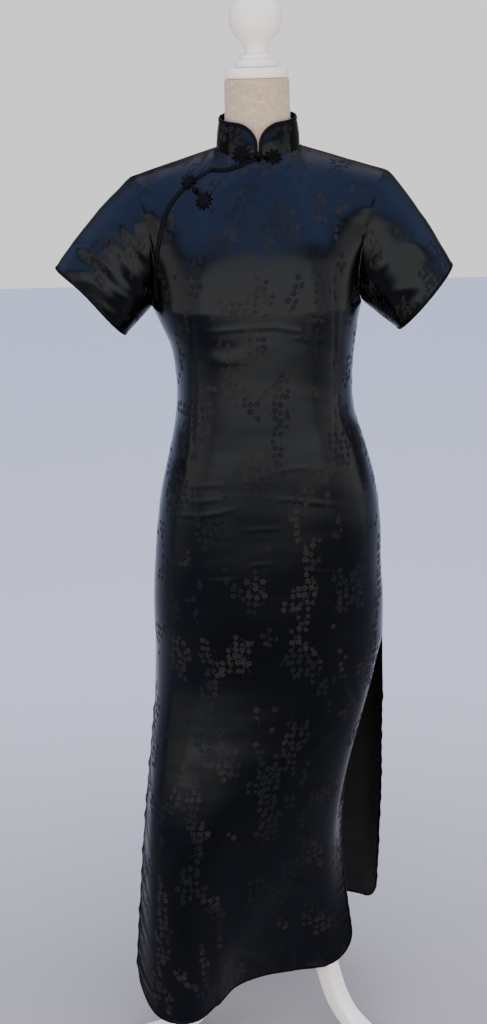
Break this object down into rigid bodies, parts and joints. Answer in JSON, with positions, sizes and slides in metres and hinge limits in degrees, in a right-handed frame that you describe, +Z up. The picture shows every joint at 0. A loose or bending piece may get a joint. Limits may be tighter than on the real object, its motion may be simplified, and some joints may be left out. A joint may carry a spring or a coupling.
{
  "type": "cheongsam dress on a dress form with a stand",
  "caption": "Fitted black satin dress with short sleeves, a standing collar, a slanted piped opening and side slits, worn by a limbless linen dress form on a white wooden stand.",
  "frame": {"origin": "middle of the whole object's box, on the floor that the feet stand on", "axes": "+Z up, the front of the dress faces -Y, +X to the right of someone who looks at the front"},
  "size_m": [0.6118, 0.4818, 1.7216],
  "materials": {
    "satin": "black satin jacquard with small blossoms in a duller weave",
    "binding": "black satin bias binding",
    "cord": "black silk cord",
    "linen": "natural linen, stretched and sewn",
    "white_paint": "off-white satin paint on turned wood"
  },
  "bodies": {
    "root": {"front_panel": "satin", "front_underlap": "satin", "back_panel": "satin", "sleeve_left": "satin", "sleeve_right": "satin", "collar_band": "satin", "opening_binding": "binding", "collar_binding": "binding", "sleeve_binding_left": "binding", "sleeve_binding_right": "binding", "front_skirt_binding": "binding", "back_skirt_binding": "binding", "frog_neck_left": "cord", "frog_neck_right": "cord", "frog_chest_left": "cord", "frog_chest_right": "cord", "knot_neck": "cord", "knot_chest": "cord", "form_torso": "linen", "neck_cap": "white_paint", "finial": "white_paint", "pole": "white_paint", "hub": "white_paint", "leg_left": "white_paint", "leg_right": "white_paint", "leg_back": "white_paint"}
  },
  "joints": []
}
